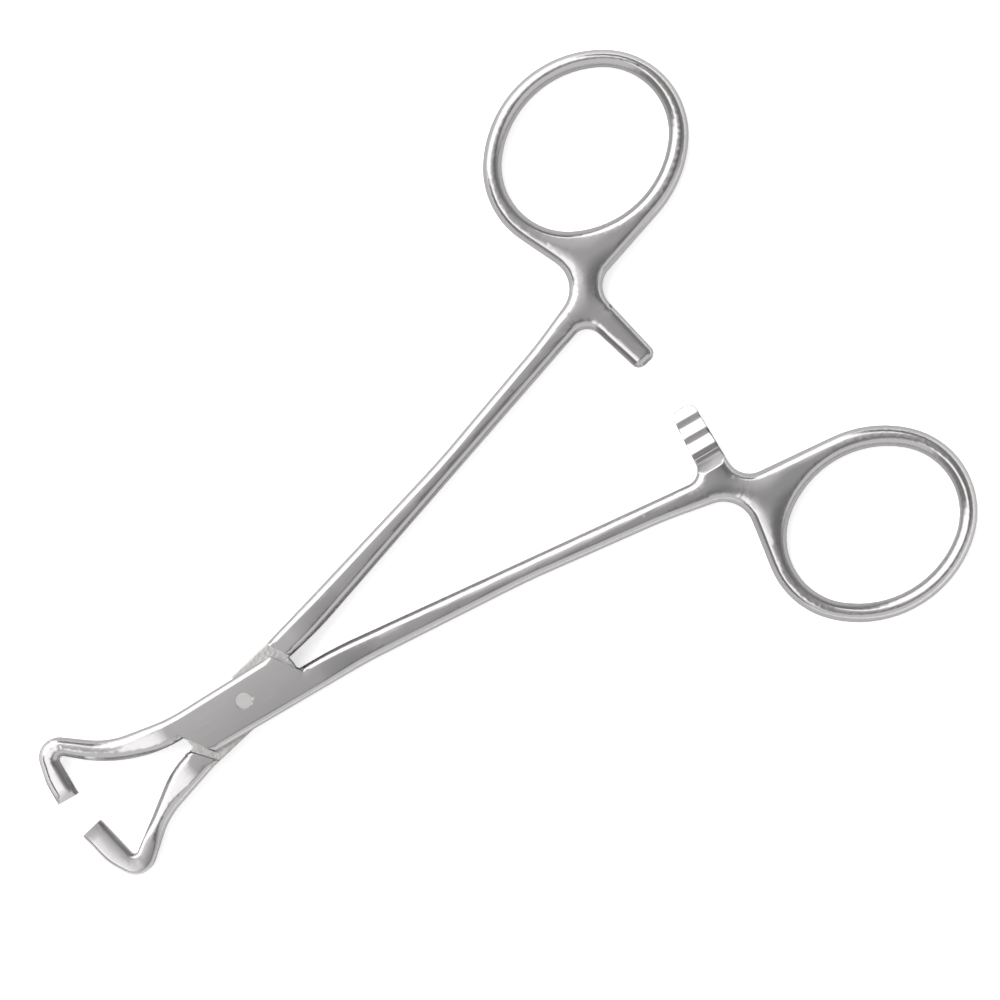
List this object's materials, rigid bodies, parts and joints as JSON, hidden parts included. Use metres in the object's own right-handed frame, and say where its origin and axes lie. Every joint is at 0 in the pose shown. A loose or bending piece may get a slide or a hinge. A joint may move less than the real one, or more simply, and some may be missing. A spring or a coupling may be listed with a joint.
{
  "type": "towel clamp",
  "caption": "Ring-handled, non-perforating towel clamp with a box lock, a stepped ratchet and blunt hooked jaws, resting part open.",
  "frame": {"origin": "on the pivot axis, in the flat underside of the box lock", "axes": "+Z along the pivot axis towards the face with the visible ratchet teeth, +Y midway between the two arms towards the finger rings, +X towards the ring of the box arm"},
  "size_m": [0.0943, 0.1327, 0.0046],
  "materials": {
    "satin_steel": "satin",
    "rivet_steel": "satin"
  },
  "bodies": {
    "box_half": {"box_arm": "satin_steel", "pivot_rivet": "rivet_steel"},
    "tongue_half": {"tongue_arm": "satin_steel"}
  },
  "joints": [
    {"name": "box_lock_hinge", "type": "hinge", "parent": "box_half", "child": "tongue_half", "pos_m": [0, 0, 0.0023], "axis": [0, 0, 1], "range_deg": [-10.3, 34]}
  ]
}
